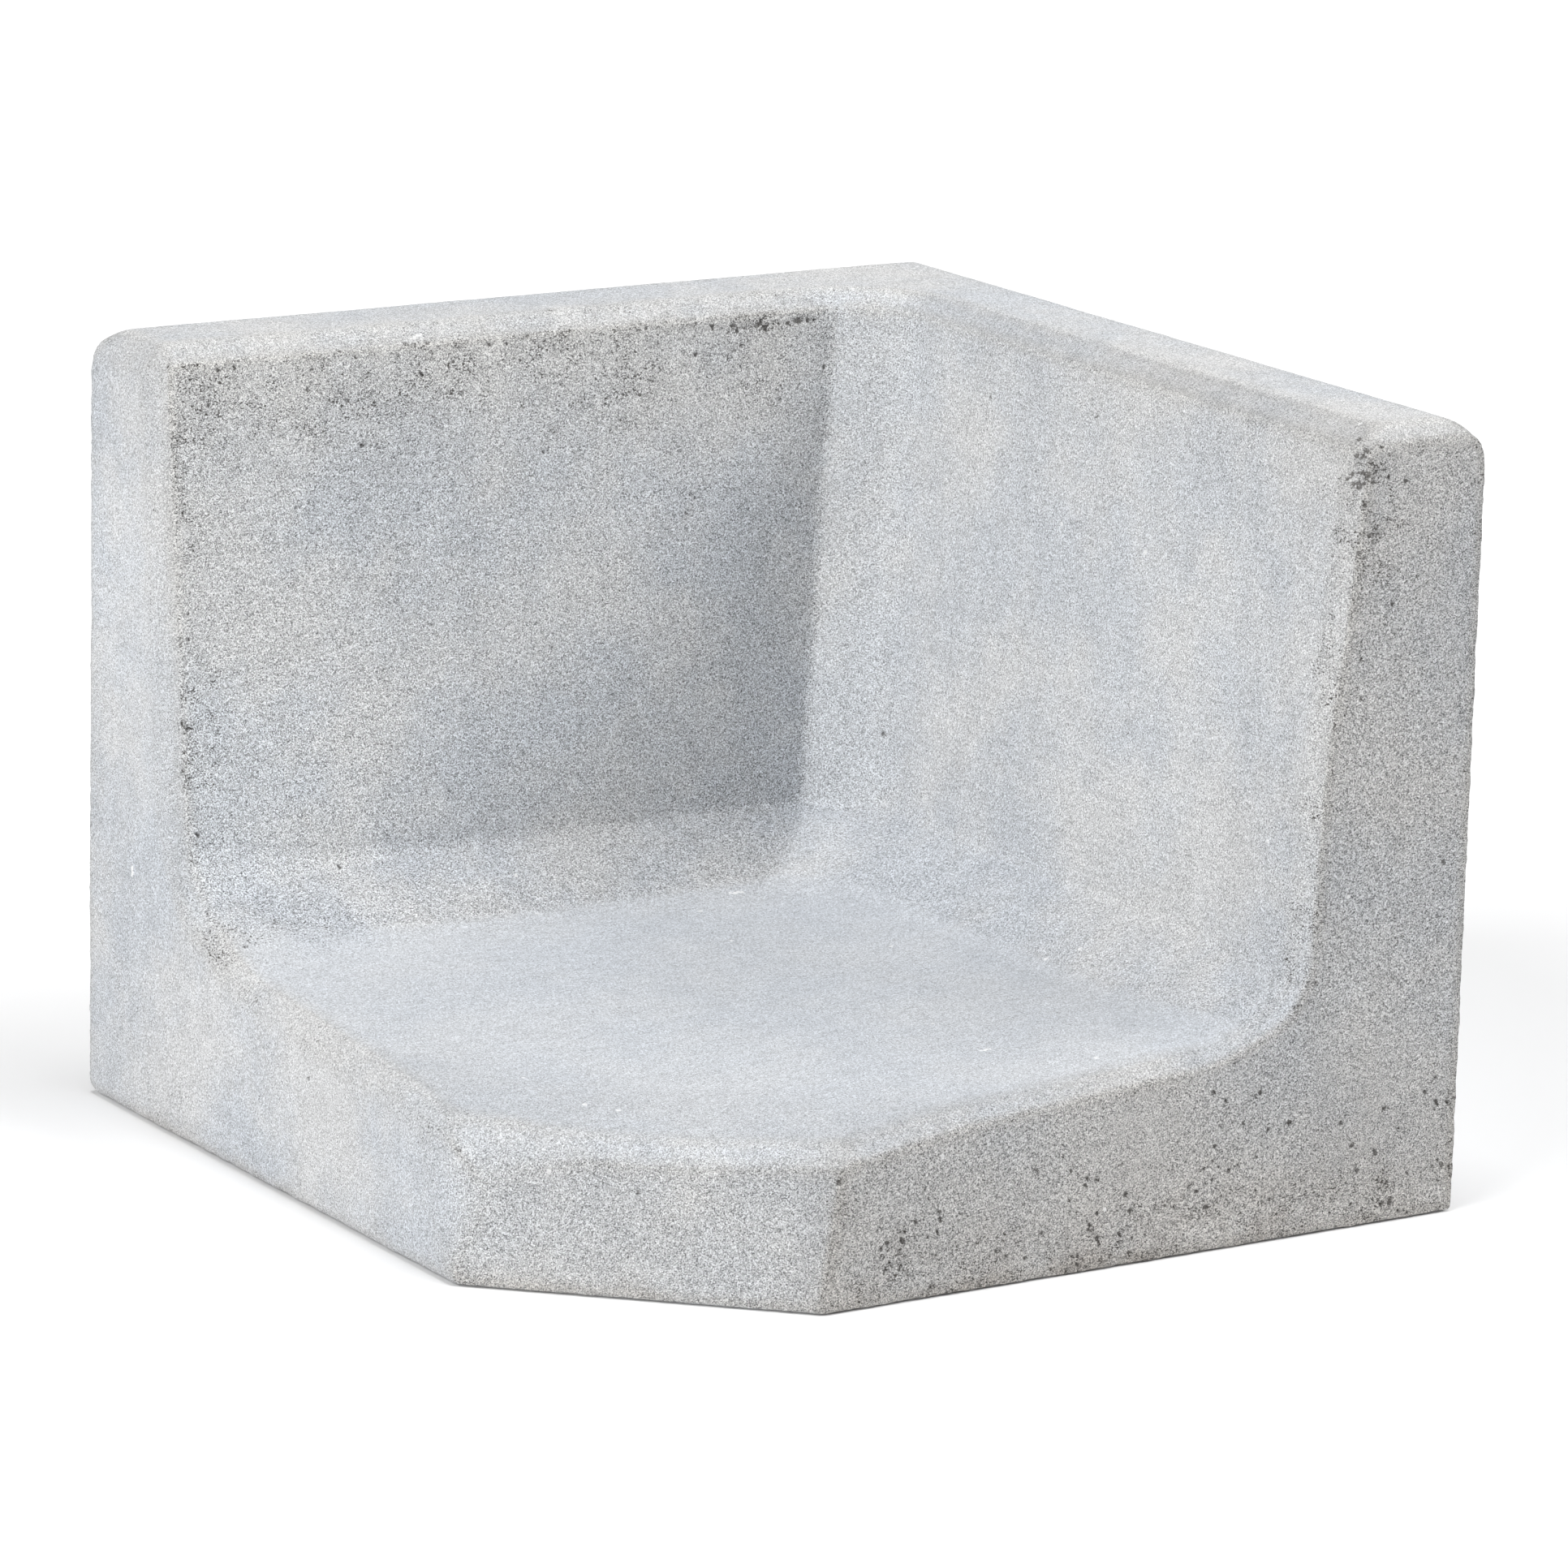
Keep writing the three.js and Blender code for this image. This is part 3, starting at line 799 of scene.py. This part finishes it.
def concrete_material():
    n = Nodes("concrete")
    edge, pore, stain = n.quality("edge"), n.quality("pore"), n.quality("stain")
    warm, trowel, grain_and_grazing_shade = n.quality("warm"), n.quality("trowel"), n.quality("grain_and_grazing_shade")
    pit = n.quality("pit")

    cloud = n.noise(11, 5, 0.6)
    blotch = n.noise(55, 4, 0.6)
    streak = n.noise(60, 3, 0.6, n.scaled((1.0, 1.0, 0.07)))
    drawn = n.noise(380, 3, 0.65, n.scaled((0.16, 1.0, 1.0), math.radians(32)))
    grain = n.noise(1600, 2, 0.7)
    fleck_place = n.scaled((1.0, 1.0, 1.5))
    flecks = n.noise(800, 2, 0.55, fleck_place)
    _, sand = n.cells(1600)
    gather = n.noise(95, 3, 0.6)

    plain = n.between(trowel, 0, 1, 1, 0.4)
    colour = n.mix(n.math("MULTIPLY", n.between(cloud, 0.35, 0.65), plain), BLUISH, NEUTRAL)
    colour = n.mix(n.math("MULTIPLY", warm, 0.8), colour, SANDY)
    soiled = n.math("MULTIPLY", stain, n.between(blotch, 0.3, 0.7, 0.3, 0.8))
    colour = n.mix(soiled, colour, SOIL)

    broad = n.total(
        n.between(cloud, 0.3, 0.7, -0.03, 0.03),
        n.between(blotch, 0.3, 0.7, -0.035, 0.035),
        n.between(streak, 0.3, 0.7, -0.02, 0.02),
    )
    fine = n.total(
        n.between(grain, 0.3, 0.7, -0.58, 0.58),
        n.between(sand, 0.0, 1.0, -0.36, 0.36),
    )
    # partly painted shade: the colour grain is strongest on the faces that the key light grazes
    fine = n.math("MULTIPLY", fine, grain_and_grazing_shade)
    drawn_tone = n.math("MULTIPLY", n.between(drawn, 0.3, 0.7, -0.045, 0.045), trowel)
    tone = n.total(n.math("MULTIPLY", broad, plain), fine, drawn_tone, 1.0)

    # pores are where stretched noise dips under a limit that rises with their density
    gathered = n.math("MULTIPLY", pore, n.between(gather, 0.38, 0.62, 0.35, 1.25))
    limit = n.between(gathered, 0.0, 1.0, 0.262, 0.412)
    hole = n.between(n.math("SUBTRACT", limit, flecks), -0.004, 0.01)
    limit = n.between(gathered, 0.0, 1.0, 0.2, 0.33)
    wide = n.noise(210, 3, 0.65, fleck_place)
    wide_hole = n.between(n.math("SUBTRACT", limit, wide), -0.005, 0.015)
    holes = n.math("MAXIMUM", hole, wide_hole)

    speck_distance, speck_kind = n.cells(95, n.shaken(300, 0.002))
    speck = n.math(
        "MULTIPLY",
        n.between(speck_kind, 0.97, 0.975),
        n.between(speck_distance, 0.15, 0.1),
    )

    # painted light and shade: the colour's brightness is scaled by the per-face tone from the zones
    colour = n.brighten(colour, n.math("MULTIPLY", tone, n.quality("tone")))
    # painted shade: pores and pits are darkened towards near-black, standing in for the shadow
    # inside them
    ragged = n.math("ADD", pit, n.between(flecks, 0.25, 0.75, 0.45, -0.45))
    pit_shade = n.between(ragged, 0.42, 0.72)
    dark = n.math("MAXIMUM", n.math("MULTIPLY", holes, 0.92), n.math("MULTIPLY", pit_shade, 0.72))
    colour = n.mix(dark, colour, PORE_SHADE)
    colour = n.mix(n.math("MULTIPLY", speck, 0.65), colour, WHITE_STONE)
    ragged_chip = n.math("ADD", n.quality("pale"), n.between(flecks, 0.25, 0.75, 0.3, -0.3))
    chip = n.between(ragged_chip, 0.4, 0.6)
    colour = n.mix(n.math("MULTIPLY", chip, 0.8), colour, WHITE_STONE)
    n.set(n.shader.inputs["Base Color"], colour)
    n.set(n.shader.inputs["Roughness"], n.between(grain, 0.3, 0.7, 0.86, 0.97))
    n.shader.inputs["Specular IOR Level"].default_value = 0.25

    height = n.total(
        n.math("MULTIPLY", grain, grain_and_grazing_shade),
        n.math("MULTIPLY", sand, n.math("MULTIPLY", grain_and_grazing_shade, 0.25)),
        n.math("MULTIPLY", blotch, 0.5),
        n.math("MULTIPLY", edge, n.math("MULTIPLY", grain, 0.5)),
        n.math("MULTIPLY", holes, -0.9),
    )
    n.bump(height, BUMP)
    return n.material


def steel_material(name, clean, rust, amount, ribs):
    """Steel with patches of rust; ribs run round bars at that many per metre."""
    n = Nodes(name)
    patches = n.noise(55, 5, 0.65)
    fine = n.noise(600, 3, 0.6)
    spread = n.math("ADD", patches, n.math("MULTIPLY", fine, 0.2))
    rusty = n.between(spread, 0.62 - amount, 0.72 - amount)
    colour = n.mix(rusty, clean, rust)
    colour = n.brighten(colour, n.between(fine, 0.3, 0.7, 0.8, 1.2))
    n.set(n.shader.inputs["Base Color"], colour)
    n.set(n.shader.inputs["Metallic"], n.between(rusty, 0, 1, 0.95, 0.15))
    n.set(n.shader.inputs["Roughness"], n.between(rusty, 0, 1, 0.42, 0.85))
    wave = n.add("ShaderNodeTexWave", bands_direction="DIAGONAL")
    wave.inputs["Scale"].default_value = ribs
    wave.inputs["Distortion"].default_value = 0.4
    n.set(wave.inputs["Vector"], n.place)
    n.bump(n.math("ADD", wave.outputs["Fac"], n.math("MULTIPLY", fine, 0.5)), 0.0003, 0.8)
    return n.material


def plastic_material():
    """Moulded grey plastic dusted with cement."""
    n = Nodes("spacer_plastic")
    dust = n.noise(140, 4, 0.6)
    fine = n.noise(900, 2, 0.6)
    colour = n.mix(n.between(dust, 0.42, 0.62), PLASTIC, CEMENT_DUST)
    colour = n.brighten(colour, n.between(fine, 0.3, 0.7, 0.9, 1.1))
    n.set(n.shader.inputs["Base Color"], colour)
    n.set(n.shader.inputs["Roughness"], n.between(dust, 0.4, 0.65, 0.5, 0.85))
    n.bump(n.math("ADD", fine, dust), 0.0002, 0.6)
    return n.material


def floor_material():
    n = Nodes("studio_floor")
    tone = n.noise(1.3, 2, 0.5)
    colour = n.mix(n.between(tone, 0.3, 0.7), (0.93, 0.93, 0.93), (0.95, 0.95, 0.95))
    n.set(n.shader.inputs["Base Color"], colour)
    n.shader.inputs["Roughness"].default_value = 0.9
    n.shader.inputs["Specular IOR Level"].default_value = 0.1
    return n.material


def dress(objects, material):
    for o in objects:
        o.data.materials.clear()
        o.data.materials.append(material)


# ------------------------------------------------------------------ pieces


def add_concrete():
    block = bpy.data.objects.new("concrete_block", concrete_mesh())
    bpy.context.scene.collection.objects.link(block)
    dress([block], concrete_material())
    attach(block, "root")
    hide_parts("concrete_casting")


def dress_inner_nodes():
    kinds = {
        "tie_wire": ("tie_wire", steel_material("tie_wire", WIRE, WIRE_RUST, 0.02, 0.0)),
        "bar_spacer": ("spacer_plastic", plastic_material()),
    }
    bar = ("bar_steel", steel_material("bar_steel", STEEL, STEEL_RUST, 0.1, 55.0))
    for name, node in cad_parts.items():
        if name == "concrete_casting":
            continue
        slot, material = next((k for start, k in kinds.items() if name.startswith(start)), bar)
        dress([node], material)


# ------------------------------------------------------------------ stage


def add_floor():
    mesh = bpy.data.meshes.new("floor")
    s = FLOOR_HALF
    mesh.from_pydata([(-s, -s, 0), (s, -s, 0), (s, s, 0), (-s, s, 0)], [], [(0, 1, 2, 3)])
    floor = bpy.data.objects.new("floor", mesh)
    bpy.context.scene.collection.objects.link(floor)
    dress([floor], floor_material())


def add_sun(name, round_left, above, strength):
    """A distant soft light, at that many degrees from -X towards -Y and above the horizon.
    Strength 1 lights a white surface that faces it to full white."""
    across, up = math.radians(round_left), math.radians(above)
    level = math.cos(up)
    towards = Vector((-math.cos(across) * level, -math.sin(across) * level, math.sin(up)))
    data = bpy.data.lights.new(name, "SUN")
    data.energy = strength * math.pi
    data.angle = math.radians(SUN_ANGLE)
    lamp = bpy.data.objects.new(name, data)
    lamp.rotation_euler = towards.to_track_quat("Z", "Y").to_euler()
    bpy.context.scene.collection.objects.link(lamp)


def add_world(strength):
    world = bpy.data.worlds.new("studio")
    world.use_nodes = True
    background = world.node_tree.nodes["Background"]
    background.inputs["Color"].default_value = (0.97, 0.98, 1.0, 1.0)
    background.inputs["Strength"].default_value = strength
    bpy.context.scene.world = world


def add_camera():
    """Looks in over the cut corner, from 32.4 degrees to the left of +Y and 13.8 above."""
    data = bpy.data.cameras.new("camera")
    data.lens, data.sensor_width = LENS, SENSOR
    data.clip_end = 200.0
    right, up = Vector(CAMERA_RIGHT), Vector(CAMERA_UP)
    back = right.cross(up)
    camera = bpy.data.objects.new("camera", data)
    turn = Matrix((right, up, back)).transposed().to_4x4()
    camera.matrix_world = Matrix.Translation(CAMERA_PLACE) @ turn
    bpy.context.scene.collection.objects.link(camera)
    bpy.context.scene.camera = camera


add_concrete()
dress_inner_nodes()
add_floor()
for lamp in LAMPS:
    add_sun(*lamp)
add_world(WORLD_STRENGTH)
add_camera()
bpy.context.scene.view_settings.view_transform = "Standard"
